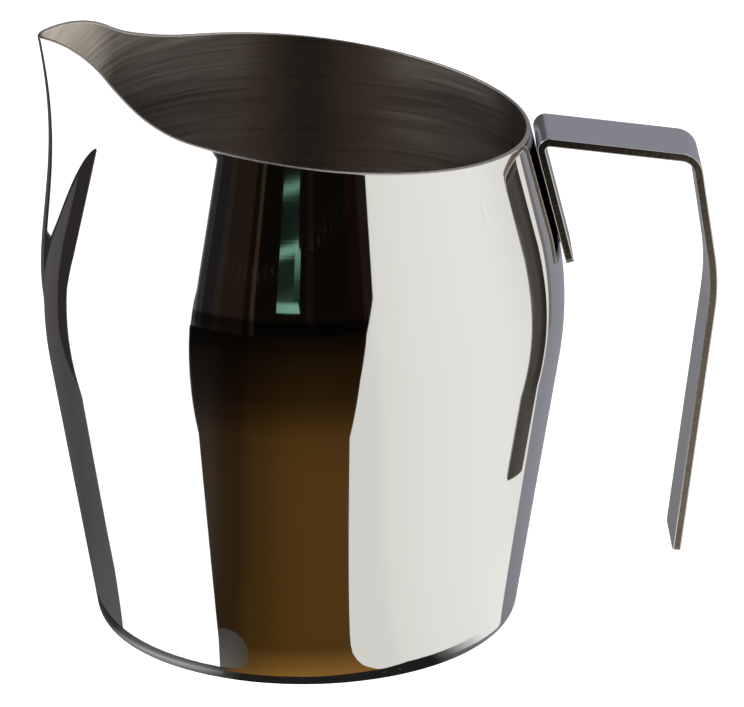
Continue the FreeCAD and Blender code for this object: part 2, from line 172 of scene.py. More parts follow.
def mouth_curve():
    """Centres of the mouth's sweep and crest in the side view, and where they join."""
    along = np.array([-math.cos(RIM_SLOPE), math.sin(RIM_SLOPE)])
    above = np.array([math.sin(RIM_SLOPE), math.cos(RIM_SLOPE)])
    crest = np.array([-CREST_REACH, CREST_HEIGHT - CREST_RADIUS])
    offset = np.array([0, RIM_HEIGHT]) + above * SWEEP_RADIUS - crest
    half = offset @ along
    travel = -half - math.sqrt(half ** 2 - offset @ offset + (SWEEP_RADIUS + CREST_RADIUS) ** 2)
    sweep = crest + offset + along * travel
    straight_end = sweep - above * SWEEP_RADIUS
    turn = crest + (sweep - crest) * CREST_RADIUS / (CREST_RADIUS + SWEEP_RADIUS)
    return sweep, crest, straight_end[0], turn[0]


SWEEP, CREST, STRAIGHT_END, TURN = mouth_curve()


def mouth_height(x):
    """Height of the mouth's cut in the side view: slanted rim, sweep and spout crest."""
    rim = RIM_HEIGHT - x * math.tan(RIM_SLOPE)
    sweep = SWEEP[1] - np.sqrt(np.maximum(SWEEP_RADIUS ** 2 - (x - SWEEP[0]) ** 2, 0))
    crest = CREST[1] + np.sqrt(np.maximum(CREST_RADIUS ** 2 - (x - CREST[0]) ** 2, 0))
    return np.where(x > STRAIGHT_END, rim, np.where(x > TURN, sweep, crest))


HALVINGS = 50


def rim_level(phi, point_at):
    """Height along the wall at which point_at reaches the mouth, for each azimuth."""
    low, high = np.full_like(phi, HIGH_JOIN[1]), np.full_like(phi, CREST_HEIGHT + 2)
    for _ in range(HALVINGS):
        middle = (low + high) / 2
        point = point_at(phi, middle)
        below = point[..., 2] < mouth_height(point[..., 0])
        low, high = np.where(below, middle, low), np.where(below, high, middle)
    return low


# ---------------------------------------------------------------- mesh helpers


def make_object(name, points, faces, materials, face_materials=None):
    """A smooth mesh object from points in millimetres."""
    mesh = bpy.data.meshes.new(name)
    mesh.from_pydata((np.asarray(points) * MM).tolist(), [], faces)
    for material in materials:
        mesh.materials.append(material)
    if face_materials is not None:
        mesh.polygons.foreach_set("material_index", face_materials)
    mesh.polygons.foreach_set("use_smooth", [True] * len(mesh.polygons))
    mesh.update()
    obj = bpy.data.objects.new(name, mesh)
    bpy.context.scene.collection.objects.link(obj)
    return obj


def bend_over(start, corner, end, count):
    """Points of a rounded edge from start to end, without its two ends."""
    shares = np.arange(1, count) / count
    return [start * (1 - t) ** 2 + corner * 2 * t * (1 - t) + end * t ** 2 for t in shares]


# ---------------------------------------------------------------- pitcher body

FLAT_RADII = [1.5, 4, 8, 13, 18, 23, 28, 32, CORNER_AXIS - 0.3]
CORNER_STEPS = 12
CONE_STEPS = 15
BELLY_STEPS = 26
NECK_STEPS = 40
EDGE_STEPS = 5
OUTSIDE, INSIDE, ON_RIM = 0, 1, 2


def azimuths():
    """Columns round the body, closest over the spout's ridge and its valleys."""
    half = np.concatenate([
        np.arange(0, 6, 0.25), np.arange(6, 35, 0.5), np.arange(35, 45, 1), np.arange(45, 181, 2.5),
    ])
    half[-1] = 180
    return np.radians(np.concatenate([half, -half[-2:0:-1]]))


def turned_rings(phi, profile, normals):
    """Rings of points and of normals from a (radius, height) profile turned round the axis."""
    rings, directions = [], []
    for (radius, z), (out, up) in zip(profile, normals):
        rings.append(np.stack([-radius * np.cos(phi), -radius * np.sin(phi), z + 0 * phi], -1))
        directions.append(np.stack([-out * np.cos(phi), -out * np.sin(phi), up + 0 * phi], -1))
    return rings, directions


def base_rings(phi, inset):
    """Flat base and its corner, from near the middle outwards."""
    corner = BASE_CORNER - inset
    turns = np.linspace(-math.pi / 2, -LOWER_LEAN, CORNER_STEPS + 1)
    profile = [(radius, inset) for radius in FLAT_RADII]
    for angle in turns:
        profile.append((CORNER_AXIS + corner * math.cos(angle), BASE_CORNER + corner * math.sin(angle)))
    normals = [(0, -1)] * len(FLAT_RADII) + [(math.cos(a), math.sin(a)) for a in turns]
    return turned_rings(phi, profile, normals)


def wall_levels(top):
    """Heights of the rings up the wall, for each azimuth, from above the base's corner."""
    cone = np.linspace(CORNER_TOP, LOW_JOIN[1], CONE_STEPS + 1)[1:]
    belly = np.linspace(LOW_JOIN[1], HIGH_JOIN[1], BELLY_STEPS + 1)[1:]
    fixed = [z + 0 * top for z in np.concatenate([cone, belly])]
    shares = np.linspace(0, 1, NECK_STEPS + 1)[1:]
    moving = [HIGH_JOIN[1] + (top - RIM_SUPPORT - HIGH_JOIN[1]) * share for share in shares]
    return fixed + moving + [top]


def rim_rings(below_outside, outer_edge, inner_edge, below_inside):
    """Rings over the cut edge of the mouth, rounded towards the outside and the inside."""
    across = inner_edge - outer_edge
    across /= np.linalg.norm(across, axis=-1, keepdims=True)
    start, end = outer_edge + across * RIM_ROUNDING, inner_edge - across * RIM_ROUNDING
    rings = bend_over(below_outside, outer_edge, start, EDGE_STEPS) + [start, end]
    return rings + bend_over(end, inner_edge, below_inside, EDGE_STEPS)


def body_faces(ring_count, columns, rim_from, rim_to):
    """Quads between the rings and two fans that close the base, and the side that each is on.

    The two points after the last ring are the middle of the base below and inside.
    """
    under = ring_count * columns
    middle = under + 1
    faces, kinds = [], []
    for row in range(ring_count - 1):
        a, b = row * columns, (row + 1) * columns
        for i in range(columns):
            j = (i + 1) % columns
            faces.append((a + i, a + j, b + j, b + i))
        side = OUTSIDE if row < rim_from else ON_RIM if row < rim_to - 1 else INSIDE
        kinds += [side] * columns
    last = (ring_count - 1) * columns
    for i in range(columns):
        j = (i + 1) % columns
        faces += [(under, j, i), (last + i, last + j, middle)]
        kinds += [OUTSIDE, INSIDE]
    return faces, kinds


def make_body(polished, satin, trimmed):
    """Skin outside, rounded rim, and the same skin one sheet further in."""
    phi = azimuths()
    outer_top, inner_top = rim_level(phi, skin_point), rim_level(phi, inner_point)
    outer_edge, inner_edge = skin_point(phi, outer_top), inner_point(phi, inner_top)
    inner_levels = wall_levels(inner_top - RIM_ROUNDING)

    rings, normals = base_rings(phi, 0)
    for z in wall_levels(outer_top - RIM_ROUNDING):
        rings.append(skin_point(phi, z))
        normals.append(skin_normal(phi, z))
    rim_from = len(rings)
    rings += rim_rings(rings[-1], outer_edge, inner_edge, inner_point(phi, inner_levels[-1]))
    rim_to = len(rings)
    for z in reversed(inner_levels):
        rings.append(inner_point(phi, z))
        normals.append(-skin_normal(phi, z))
    floor_rings, floor_normals = base_rings(phi, WALL)
    rings += floor_rings[::-1]
    normals += [-n for n in floor_normals[::-1]]

    columns = len(phi)
    points = np.concatenate(rings + [np.array([[0, 0, 0], [0, 0, WALL]])])
    faces, kinds = body_faces(len(rings), columns, rim_from, rim_to)
    obj = make_object("pitcher_shell", points, faces, [polished, satin, trimmed], kinds)
    # The rim keeps the mesh's own normals, and the rest gets the exact ones of its shape.
    own = np.array([v.normal[:] for v in obj.data.vertices])
    exact = np.concatenate(normals)
    own[:rim_from * columns] = exact[:rim_from * columns]
    own[rim_to * columns:-2] = exact[rim_from * columns:]
    own[-2], own[-1] = (0, 0, -1), (0, 0, 1)
    obj.data.normals_split_custom_set_from_vertices(own.tolist())
    return obj


# ---------------------------------------------------------------- strap handle

STRAP_WIDTH = STRAP_HIGH[1] - STRAP_LOW[1]
STRAP_GAUGE = 1.5
STRAP_ARRIS = 0.22
STRAP_CORNER = 1.0
LEG_LEAN = 14.0
LEG_END_HEIGHT = 68.2
LEG_GAP = 0.05
RUN_SLOPE = 7.5
RUN_HEIGHT = 91.3
GRIP_LEAN = 8.8
KICK_LEAN = 7.0
KINK_REACH = 73.7
KINK_HEIGHT = 64.4
BEND_RADII = (2.2, 4.2, 38.0)
TIP_HEIGHT = STRAP_LOW[2]

BEND_STEP = 4
LONGEST_STEP = 3.0
# Stations this far from each cut end draw its rounded corners.
END_STATIONS = [0, 0.06, 0.13, 0.22, 0.35, 0.5, 0.7, 0.9, 1.1, 1.4, 2.0]
ARRIS_STEPS = 4
FACE_POINTS = 11
FACE_MARGIN = 0.15
# How much of the arris comes off the half width and the half gauge at a cut end.
END_WIDTH_SHARE, END_GAUGE_SHARE = 0.5, 0.8
# The cut edges are painted dark, a painted reflection of the table in front.
SHOW_SIDE, PAINTED_DARK_EDGE, FINGER_SIDE = 0, 1, 2


def heading(degrees):
    """Direction in the side view, in degrees up from +X."""
    return np.array([math.cos(math.radians(degrees)), math.sin(math.radians(degrees))])


def crossing(first, first_heading, second, second_heading):
    """Where two lines of the side view meet."""
    run, other = heading(first_heading), heading(second_heading)
    step = second - first
    distance = (step[0] * other[1] - step[1] * other[0]) / (run[0] * other[1] - run[1] * other[0])
    return first + run * distance


def strap_path():
    """Side view of the strap's skin as (point, heading in degrees), bends divided finely."""
    turns = [90 + LEG_LEAN, -RUN_SLOPE, GRIP_LEAN - 90, -90 - KICK_LEAN]
    leg = np.array([HIGH_JOIN[0] + LEG_GAP, HIGH_JOIN[1]])
    run = np.array([BELLY_RADIUS, RUN_HEIGHT])
    kink = np.array([KINK_REACH, KINK_HEIGHT])
    corners = [
        crossing(leg, turns[0], np.array([0, LEG_END_HEIGHT]), 0),
        crossing(leg, turns[0], run, turns[1]),
        crossing(run, turns[1], kink, turns[2]),
        kink,
        crossing(kink, turns[3], np.array([0, TIP_HEIGHT]), 0),
    ]
    stations = [(corners[0], turns[0])]
    for index, radius in enumerate(BEND_RADII):
        before, after = turns[index], turns[index + 1]
        setback = radius * math.tan(math.radians(before - after) / 2)
        begin = corners[index + 1] - heading(before) * setback
        centre = begin + heading(before - 90) * radius
        steps = max(8, int((before - after) / BEND_STEP))
        for share in np.linspace(0, 1, steps + 1):
            angle = before + (after - before) * share
            stations.append((centre + heading(angle + 90) * radius, angle))
    stations.append((corners[-1], turns[-1]))
    return stations


def refine(stations):
    """Divide the straight runs, and crowd the stations towards the two cut ends.

    Each station is (point, heading, length from the start, length to the end).
    """
    places = [np.array(point) for point, _ in stations]
    angles = [angle for _, angle in stations]
    runs = [np.linalg.norm(b - a) for a, b in zip(places, places[1:])]
    lengths = np.concatenate([[0], np.cumsum(runs)])
    total = lengths[-1]
    marks = set(np.round(lengths, 4))
    marks |= {round(e, 4) for e in END_STATIONS} | {round(total - e, 4) for e in END_STATIONS}
    marks = sorted(marks)
    dense = []
    for a, b in zip(marks, marks[1:]):
        pieces = max(1, math.ceil((b - a) / LONGEST_STEP))
        dense += [a + (b - a) * i / pieces for i in range(pieces)]
    dense.append(marks[-1])
    refined = []
    for length in dense:
        x = np.interp(length, lengths, [place[0] for place in places])
        z = np.interp(length, lengths, [place[1] for place in places])
        angle = float(np.interp(length, lengths, angles))
        refined.append((np.array([x, z]), angle, length, max(total - length, 0.0)))
    return refined


def rounding(radius, distance):
    """How far a rounded corner has drawn back at this distance from its end."""
    if distance >= radius:
        return 0.0
    return radius - math.sqrt(radius ** 2 - (radius - distance) ** 2)


def strap_section(half_width, half_gauge):
    """Ring round the strip, from its near top arris: (across, through) and outward direction."""
    arris = min(STRAP_ARRIS, half_gauge * 0.95)
    flat = half_width - arris
    inside = np.linspace(-flat, flat, FACE_POINTS - 2)[1:-1]
    face = np.concatenate([[-flat, FACE_MARGIN - flat], inside, [flat - FACE_MARGIN, flat]])
    turns = np.radians(np.linspace(90, 0, ARRIS_STEPS + 1))[1:]
    top = [(y, half_gauge, 0, 1) for y in face]
    corner = [(flat + arris * math.cos(a), half_gauge - arris + arris * math.sin(a),
               math.cos(a), math.sin(a)) for a in turns]
    upper = top + corner
    under = [(y, -t, out, -up) for y, t, out, up in reversed(upper)]
    far = [(-y, t, -out, up) for y, t, out, up in corner]
    return upper + under + [(y, -t, out, -up) for y, t, out, up in far] + far[::-1]


def strap_faces(rows):
    """Quads along the strip and across its two cut ends, and the side that each one is on."""
    half = FACE_POINTS + ARRIS_STEPS
    count = 2 * (half + ARRIS_STEPS)
    edges = {half - 1, count - ARRIS_STEPS - 1}
    finger_side = range(half + ARRIS_STEPS, 2 * half - 1)
    faces, kinds = [], []
    for row in range(rows - 1):
        a, b = row * count, (row + 1) * count
        for i in range(count):
            j = (i + 1) % count
            faces.append((a + i, b + i, b + j, a + j))
            kinds.append(PAINTED_DARK_EDGE if i in edges else FINGER_SIDE if i in finger_side else SHOW_SIDE)
    last = (rows - 1) * count
    for i in range(-ARRIS_STEPS, half - 1):
        lace = [i % count, (i + 1) % count, (2 * half - 2 - i) % count, (2 * half - 1 - i) % count]
        faces += [tuple(lace), tuple(last + k for k in lace[::-1])]
        kinds += [PAINTED_DARK_EDGE, PAINTED_DARK_EDGE]
    return faces, kinds


def make_strap(brushed, painted_dark_edge, finger_side_shade):
    """The flat strip, swept along its side view, with soft arrises and cut ends."""
    stations = refine(strap_path())
    points, along, exact, trusted = [], [], [], []
    for place, angle, from_start, from_end in stations:
        near = min(from_start, from_end)
        soft = rounding(STRAP_ARRIS, near)
        half_width = STRAP_WIDTH / 2 - rounding(STRAP_CORNER, near) - soft * END_WIDTH_SHARE
        half_gauge = STRAP_GAUGE / 2 - soft * END_GAUGE_SHARE
        inward = heading(angle - 90)
        centre = place + inward * STRAP_GAUGE / 2
        for across, through, out, up in strap_section(half_width, half_gauge):
            spot = centre - inward * through
            points.append((spot[0], across, spot[1]))
            exact.append((-inward[0] * up, out, -inward[1] * up))
            along.append((from_start, across + through))
            trusted.append(near > STRAP_CORNER)
    faces, kinds = strap_faces(len(stations))
    # The finger side carries painted shade from the body beside it.
    obj = make_object("grip_strap", points, faces, [brushed, painted_dark_edge, finger_side_shade], kinds)
    own = np.array([v.normal[:] for v in obj.data.vertices])
    own[trusted] = np.array(exact)[trusted]
    obj.data.normals_split_custom_set_from_vertices(own.tolist())
    uv = obj.data.uv_layers.new(name="along")
    for loop in obj.data.loops:
        length, width = along[loop.vertex_index]
        uv.data[loop.index].uv = (length * MM, width * MM)
    return obj


def compass(azimuth, distance, z=0.0):
    """A point at an azimuth in degrees from the front, positive to the right."""
    angle = math.radians(azimuth)
    return (distance * math.sin(angle), -distance * math.cos(angle), z)


# ---------------------------------------------------------------- materials


def new_material(name, metallic=1.0):
    """A new material with its tree and shader, which is a metal unless told otherwise."""
    material = bpy.data.materials.new(name)
    material.use_nodes = True
    tree = material.node_tree
    shader = tree.nodes["Principled BSDF"]
    shader.inputs["Metallic"].default_value = metallic
    return material, tree, shader


def add(tree, kind, inputs=None, **settings):
    """A node with its settings, and inputs given as values or as other nodes' outputs."""
    node = tree.nodes.new("ShaderNode" + kind)
    for key, value in settings.items():
        setattr(node, key, value)
    for key, value in (inputs or {}).items():
        if isinstance(value, bpy.types.NodeSocket):
            tree.links.new(value, node.inputs[key])
        else:
            node.inputs[key].default_value = value
    return node


def fill_ramp(tree, share, stops):
    """A colour ramp over share, with (position, colour) stops."""
    ramp = add(tree, "ValToRGB", {"Fac": share})
    elements = ramp.color_ramp.elements
    elements[0].position, elements[0].color = stops[0][0], (*stops[0][1], 1)
    elements[1].position, elements[1].color = stops[-1][0], (*stops[-1][1], 1)
    for position, colour in stops[1:-1]:
        elements.new(position).color = (*colour, 1)
    return ramp


def drawn_noise(tree, place, scale, detail, **more):
    """Noise in a place scaled apart along its axes (in 1 / m), which draws it out to lines."""
    mapped = add(tree, "Mapping", {"Vector": place, "Scale": scale})
    inputs = {"Vector": mapped.outputs["Vector"], "Scale": 1.0, "Detail": detail, **more}
    return add(tree, "TexNoise", inputs).outputs["Fac"]


def even_noise(tree, scale, detail, **more):
    """Noise that is the same in all directions."""
    inputs = {"Vector": add(tree, "TexCoord").outputs["Object"], "Scale": scale, "Detail": detail, **more}
    return add(tree, "TexNoise", inputs).outputs["Fac"]


def strip_noise(tree, scale, detail):
    """Noise drawn out in the strap's own length and width."""
    return drawn_noise(tree, add(tree, "UVMap", uv_map="along").outputs["UV"], scale, detail)


def set_roughness(tree, shader, share, smoothest, roughest, share_from=0.0, share_to=1.0):
    """Roughness that rises with share."""
    rough = add(tree, "MapRange", {"Value": share, "From Min": share_from, "From Max": share_to,
                                   "To Min": smoothest, "To Max": roughest})
    tree.links.new(rough.outputs["Result"], shader.inputs["Roughness"])


def relief(tree, height, strength, depth, **more):
    """A bump up to depth millimetres high."""
    return add(tree, "Bump", {"Height": height, "Strength": strength, "Distance": depth * MM, **more})


def grain_finish(tree, shader, grain, tint, roughness, bump):
    """A grain that drives tint stops, roughness (from, to) and a bump (strength, depth in mm)."""
    ramp = fill_ramp(tree, grain, tint)
    tree.links.new(ramp.outputs["Color"], shader.inputs["Base Color"])
    set_roughness(tree, shader, grain, *roughness)
    tree.links.new(relief(tree, grain, *bump).outputs["Normal"], shader.inputs["Normal"])


def axis_distance(tree, parts):
    """Distance from the cup's axis of a place split into its parts."""
    flat = add(tree, "CombineXYZ", {"X": parts.outputs["X"], "Y": parts.outputs["Y"]})
    return add(tree, "VectorMath", {0: flat.outputs["Vector"]}, operation="LENGTH").outputs["Value"]


# A small ding right of the front: azimuth in degrees, distance from the axis, height.
DING = (47.2, 42.05, 85.2)
DING_RADIUS = 0.9
DING_DEPTH = 0.13
# The upright part of the way to the ding counts this much, so that it is taller than wide.
DING_UPRIGHT = 0.22


def polished_steel():
    """Mirror polish with faint wiping smears, very fine buffing lines and one small ding."""
    material, tree, shader = new_material("polished_steel")
    shader.inputs["Base Color"].default_value = (0.79, 0.78, 0.765, 1)
    smears = even_noise(tree, 45.0, 4.0, Roughness=0.6)
    set_roughness(tree, shader, smears, 0.018, 0.05, 0.35, 0.75)
    place = add(tree, "TexCoord").outputs["Object"]
    buffed = relief(tree, drawn_noise(tree, place, (60.0, 60.0, 5000.0), 2.0), 0.03, 0.01)
    way = add(tree, "VectorMath", {0: place, 1: Vector(compass(*DING)) * MM}, operation="SUBTRACT")
    squeezed = add(tree, "VectorMath", {0: way.outputs["Vector"], 1: (1, 1, DING_UPRIGHT)},
                   operation="MULTIPLY")
    distance = add(tree, "VectorMath", {0: squeezed.outputs["Vector"]}, operation="LENGTH")
    hollow = add(tree, "MapRange", {"Value": distance.outputs["Value"], "From Max": DING_RADIUS * MM},
                 interpolation_type="SMOOTHSTEP")
    dinged = relief(tree, hollow.outputs["Result"], 1.0, DING_DEPTH, Normal=buffed.outputs["Normal"])
    tree.links.new(dinged.outputs["Normal"], shader.inputs["Normal"])
    return material


# Painted sheen inside the spout, for the light it catches: from where to where along X, and how much.
SPOUT_SHEEN_FROM, SPOUT_SHEEN_TO = -33.5, -37.0
SPOUT_SHEEN_GAIN = 2.0


def satin_steel():
    """The brushed inside: fine lines round the cup, uneven where the brush lifted."""
    material, tree, shader = new_material("satin_steel")
    shader.inputs["Anisotropic"].default_value = 0.92
    shader.inputs["Anisotropic Rotation"].default_value = 0.25
    parts = add(tree, "SeparateXYZ", {"Vector": add(tree, "TexCoord").outputs["Object"]})
    # Height plus distance from the axis lets the lines run on as rings over the floor.
    level = add(tree, "Math", {0: parts.outputs["Z"], 1: axis_distance(tree, parts)}, operation="ADD")
    rings = add(tree, "CombineXYZ", {"X": parts.outputs["X"], "Y": parts.outputs["Y"],
                                     "Z": level.outputs["Value"]}).outputs["Vector"]
    fine = drawn_noise(tree, rings, (30.0, 30.0, 1500.0), 4.0, Roughness=0.7)
    broad = drawn_noise(tree, rings, (18.0, 18.0, 420.0), 3.0)
    tint = fill_ramp(tree, fine, [(0.3, (0.385, 0.335, 0.285)), (0.7, (0.50, 0.455, 0.405))])
    # Painted sheen: the base colour grows brighter towards the spout's tip.
    spout_sheen = add(tree, "MapRange", {"Value": parts.outputs["X"], "From Min": SPOUT_SHEEN_FROM * MM,
                                    "From Max": SPOUT_SHEEN_TO * MM, "To Min": 1.0, "To Max": SPOUT_SHEEN_GAIN})
    colour = add(tree, "VectorMath", {0: tint.outputs["Color"], "Scale": spout_sheen.outputs["Result"]},
                 operation="SCALE")
    tree.links.new(colour.outputs["Vector"], shader.inputs["Base Color"])
    both = add(tree, "Math", {0: fine, 1: broad}, operation="ADD").outputs["Value"]
    set_roughness(tree, shader, both, 0.28, 0.42, 0.7, 1.3)
    tree.links.new(relief(tree, both, 0.5, 0.08).outputs["Normal"], shader.inputs["Normal"])
    tangent = add(tree, "Tangent", direction_type="RADIAL", axis="Z")
    tree.links.new(tangent.outputs["Tangent"], shader.inputs["Tangent"])
    return material


def trimmed_steel():
    """The trimmed and deburred edge of the mouth: a fine grain, a little warmer and duller."""
    material, tree, shader = new_material("trimmed_steel")
    tint = [(0.3, (0.46, 0.41, 0.36)), (0.7, (0.60, 0.545, 0.49))]
    grain_finish(tree, shader, even_noise(tree, 1400.0, 3.0), tint, (0.16, 0.34), (0.3, 0.03))
    return material


def brushed_strap_steel():
    """Show side of the strip, brushed along its length."""
    material, tree, shader = new_material("brushed_strap_steel")
    shader.inputs["Base Color"].default_value = (0.66, 0.64, 0.64, 1)
    lines = strip_noise(tree, (45.0, 5200.0, 1.0), 3.0)
    set_roughness(tree, shader, lines, 0.09, 0.16, 0.35, 0.65)
    tree.links.new(relief(tree, lines, 0.2, 0.03).outputs["Normal"], shader.inputs["Normal"])
    return material


def finger_side_shaded_steel():
    """Finger side of the strip: duller than the show side, and darker with painted shade from the body.
    """
    material, tree, shader = new_material("finger_side_shaded_steel")
    grain = strip_noise(tree, (160.0, 1600.0, 1.0), 4.0)
    # Painted shade: darker brown where the strip faces the body.
    tint = [(0.3, (0.27, 0.235, 0.19)), (0.7, (0.35, 0.31, 0.265))]
    grain_finish(tree, shader, grain, tint, (0.12, 0.24), (0.2, 0.02))
    return material


def painted_dark_edge_steel():
    """Cut edge of the strip: a painted dark reflection of the table, with the shear's fine drag lines."""
    material, tree, shader = new_material("painted_dark_edge_steel")
    drag = strip_noise(tree, (2600.0, 700.0, 1.0), 3.0)
    # Painted reflection: the dark brown of the table in front.
    tint = [(0.3, (0.11, 0.087, 0.067)), (0.7, (0.19, 0.16, 0.13))]
    grain_finish(tree, shader, drag, tint, (0.14, 0.3), (0.3, 0.04))
    return material


def weld_steel():
    """Welded spots: dull grey with a straw-coloured heat tint."""
    material, tree, shader = new_material("weld_steel")
    tint = [(0.35, (0.20, 0.17, 0.16)), (0.65, (0.46, 0.38, 0.27))]
    grain_finish(tree, shader, even_noise(tree, 900.0, 4.0), tint, (0.35, 0.6), (0.5, 0.2))
    return material


# ---------------------------------------------------------------- studio


def measured(tree, kind):
    """A shaded point's azimuth, distance from the axis or height, and its unit (1 degree or 1 mm)."""
    parts = add(tree, "SeparateXYZ", {"Vector": add(tree, "TexCoord").outputs["Object"]})
    if kind == "height":
        return parts.outputs["Z"], MM
    if kind == "distance":
        return axis_distance(tree, parts), MM
    front = add(tree, "Math", {0: parts.outputs["Y"], 1: -1.0}, operation="MULTIPLY")
    angle = add(tree, "Math", {0: parts.outputs["X"], 1: front.outputs["Value"]}, operation="ARCTAN2")
    return angle.outputs["Value"], math.radians(1)


def glow(name, colour=None, **ramps):
    """A card's light: one colour, or the product of ramps by azimuth, distance or height.

    A ramp is a list of (degrees or millimetres, colour), where a plain number is a grey.
    """
    material = bpy.data.materials.new(name)
    material.use_nodes = True
    tree = material.node_tree
    tree.nodes.clear()
    light = add(tree, "Emission", {"Strength": 1.0})
    output = add(tree, "OutputMaterial")
    tree.links.new(light.outputs["Emission"], output.inputs["Surface"])
    if colour:
        light.inputs["Color"].default_value = (*colour, 1)
    product = None
    for kind, stops in ramps.items():
        value, unit = measured(tree, kind)
        first, last = stops[0][0], stops[-1][0]
        share = add(tree, "MapRange", {"Value": value, "From Min": first * unit, "From Max": last * unit})
        colours = [(place, c if isinstance(c, tuple) else (c, c, c)) for place, c in stops]
        ramp = fill_ramp(tree, share.outputs["Result"], [
            ((place - first) / (last - first), colour) for place, colour in colours])
        if product is None:
            product = ramp.outputs["Color"]
        else:
            both = add(tree, "VectorMath", {0: product, 1: ramp.outputs["Color"]}, operation="MULTIPLY")
            product = both.outputs["Vector"]
    if product is not None:
        tree.links.new(product, light.inputs["Color"])
    return material


def stripes(bands):
    """Ramp stops for neighbouring bands of one colour each, given as (start, end, colour)."""
    stops = []
    for start, end, colour in bands:
        stops += [(start + BAND_SOFTNESS, colour), (end - BAND_SOFTNESS, colour)]
    return stops


def card(name, points, faces, material):
    """A card that only the metal sees: it is reflected, and isn't photographed."""
    obj = make_object(name, points, faces, [material])
    obj.visible_camera = False
    obj.visible_shadow = False
    return obj


def spread(start, stop, step):
    """Even places from start to stop, no further apart than step."""
    return np.linspace(start, stop, max(2, math.ceil((stop - start) / step) + 1))


def strip_faces(count):
    """Quads between two rows of count points each."""
    return [(i, i + 1, count + i + 1, count + i) for i in range(count - 1)]


def level_ring(name, start, stop, near, far, z, material, far_at_start=None):
    """Level card, part of a ring round the pitcher; its reach may begin at another distance."""
    angles = spread(start, stop, 5)
    reaches = np.linspace(far_at_start or far, far, len(angles))
    points = [compass(angle, near, z) for angle in angles]
    points += [compass(angle, reach, z) for angle, reach in zip(angles, reaches)]
    return card(name, points, strip_faces(len(angles)), material)


def floor_card(name, outline, z, material):
    """Level card with straight sides, given by the corners of its plan."""
    return card(name, [(x, y, z) for x, y in outline], [tuple(range(len(outline)))], material)


def screen(name, start, stop, distance, low, high, material, start_lean=0.0, stop_lean=0.0):
    """Upright card, part of a drum round the pitcher; its ends lean by some degrees at the top."""
    angles = spread(start, stop, 3)
    shares = np.linspace(0, 1, len(angles))
    leaned = angles + start_lean * (1 - shares) + stop_lean * shares
    points = [compass(angle, distance, low) for angle in angles]
    points += [compass(angle, distance, high) for angle in leaned]
    return card(name, points, strip_faces(len(angles)), material)


TENT_RADIUS = 1300
TENT_HEIGHT = 1500
# Where cards overlap, one stands this much closer, or lies this much higher.
SCREEN_GAP = 5
LIFT = 0.15
FLOOR_FROM = 10
FLOOR_REACH = TENT_RADIUS * 1.5

# Plan of the floor as the metal sees it: a dark table top between white sheets on both sides,
# which end behind the pitcher. The outlines run from under the pitcher outwards.
TABLE_LEFT = [(-12, -31.6), (-405, -345), (-1390, -1131)]
TABLE_RIGHT = [
    (16, -37), (13, -39.9), (11.8, -41.3), (11.2, -43), (10.9, -45), (11.2, -47.2), (12, -50),
    (29, -103), (81, -214), (331, -714), (680, -1430),
]
BEHIND_LEFT = [(-30, -19.5), (-57, -3.9), (-118, 39), (-281, 173), (-603, 388), (-1100, 735)]
BEHIND_RIGHT = [(31, -18.5), (158, 99.7), (1000, 883)]
BEHIND_SHADE = BEHIND_LEFT[2:] + [(-904, 1008), (-150, 110)]
BEHIND_EDGE = BEHIND_RIGHT[1:] + [(918, 932), (150, 109)]
# Painted shadow by the foot, where a white sheet meets the table, as (azimuth, distance) round its plan.
SHEET_SHADOW_PATCH = [
    (-31.7, 51.4), (-29, 51.8), (-25.5, 51.2), (-22.6, 49.8), (-20.6, 47.8), (-19.4, 45.6),
    (-19.2, 43.5), (-21, 41.6), (-27.3, 41.3),
]

# Azimuths are in degrees from the front, positive to the right. The edges of the room lean by
# ROOM_LEANS up to ROOM_LEAN_TOP and stand upright above it.
ROOM_EDGES = (-50.3, 25.5)
ROOM_LEANS = (1.3, 4.3)
ROOM_LEAN_TOP = 300
SHEET_OVERLAP = 3
BACK_EDGE_WIDTH = 4
BACK_SHADE_WIDTH = 15
WINDOW_DISTANCE = 400
WINDOW_EDGES = (-12.3, -2.7)
WINDOW_LEANS = (0, -1.6)
WINDOW_FOOT, WINDOW_TOP = 104, 162.1
PANE_DISTANCE = 398
PANE_EDGES = (-5.4, -2.9)
PANE_FOOT, PANE_TOP = 131, 145.5

# The pitcher's own shadow on the table and the sheets, as rings round its foot.
SHADOW_FROM = 20
SHADOW_SPLIT = -25
SHADOW_LEFT_TO, SHADOW_RIGHT_TO = 41.2, 38.6
SHADE_WIDENS, SHADE_WIDE, SHADE_END = 2, 30, 60
SHADE_FRONT_TO, SHADE_RIGHT_TO = 39.4, 41.4

# Light of the cards over azimuth, distance or height.
BAND_SOFTNESS = 0.3
ROOM_BANDS = [
    (-51, -48.2, (0.110, 0.110, 0.125)), (-48.2, -45.6, (0.030, 0.030, 0.036)),
    (-45.6, -40.5, (0.0135, 0.0125, 0.0135)), (-40.5, -37.5, (0.021, 0.017, 0.014)),
    (-37.5, -27, (0.0170, 0.0105, 0.0070)), (-27, -24.2, (0.0060, 0.0045, 0.0030)),
    (-24.2, -22.4, (0.034, 0.022, 0.013)), (-22.4, 0, (0.0040, 0.0030, 0.0016)),
    (0, 3, (0.0080, 0.0050, 0.0046)), (3, 19, (0.0038, 0.0027, 0.0015)),
    (19, 24.8, (0.0072, 0.0028, 0.0024)), (24.8, 30, (0.013, 0.009, 0.007)),
]
ROOM_HEIGHTS = [(0, 0.45), (60, 0.3), (95, 0.3), (130, 1.0), (TENT_HEIGHT, 1.0)]
WINDOW_TINT = [(-13, (0.16, 0.34, 0.25)), (-2, (0.20, 0.42, 0.31))]
